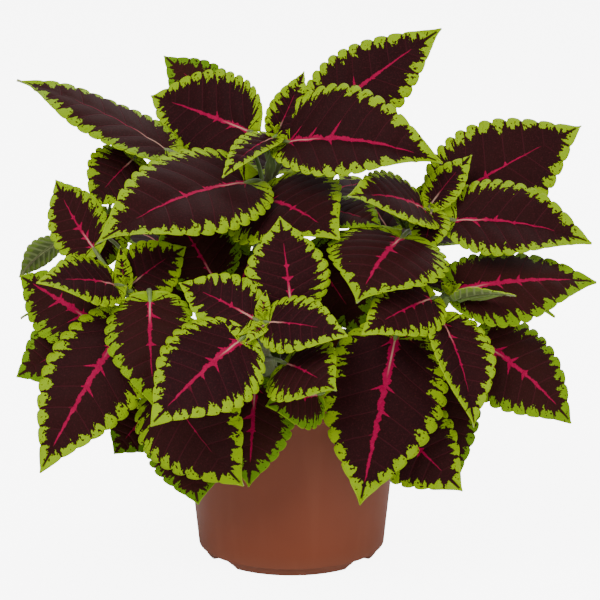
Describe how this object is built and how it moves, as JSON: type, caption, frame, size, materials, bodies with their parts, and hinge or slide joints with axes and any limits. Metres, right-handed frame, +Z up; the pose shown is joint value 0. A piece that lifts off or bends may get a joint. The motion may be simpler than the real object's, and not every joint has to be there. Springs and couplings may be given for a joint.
{
  "type": "potted coleus",
  "caption": "Bushy coleus with dark maroon leaves edged in lime green, growing from soil in a round terracotta-coloured plastic nursery pot on low feet.",
  "frame": {"origin": "on the ground plane under the feet, below the middle of the whole plant's box; the pot's axis stands 4.8 mm to -X and 6.5 mm to -Y of it", "axes": "+Z up along the pot's axis, -Y towards the side seen in the picture, +X to its right"},
  "size_m": [0.2685, 0.2365, 0.2462],
  "materials": {
    "pot": "terracotta-brown moulded plastic, satin",
    "soil": "dark damp potting mix, rough",
    "leaf": "velvety dark maroon leaf with a lime green scalloped edge and a magenta midrib"
  },
  "bodies": {
    "root": {"pot": "pot", "soil": "soil", "crown": "leaf", "right_upper": "leaf", "left_upper": "leaf", "front": "leaf", "right_lower": "leaf", "back_left": "leaf", "back_right": "leaf", "back": "leaf"}
  },
  "joints": []
}
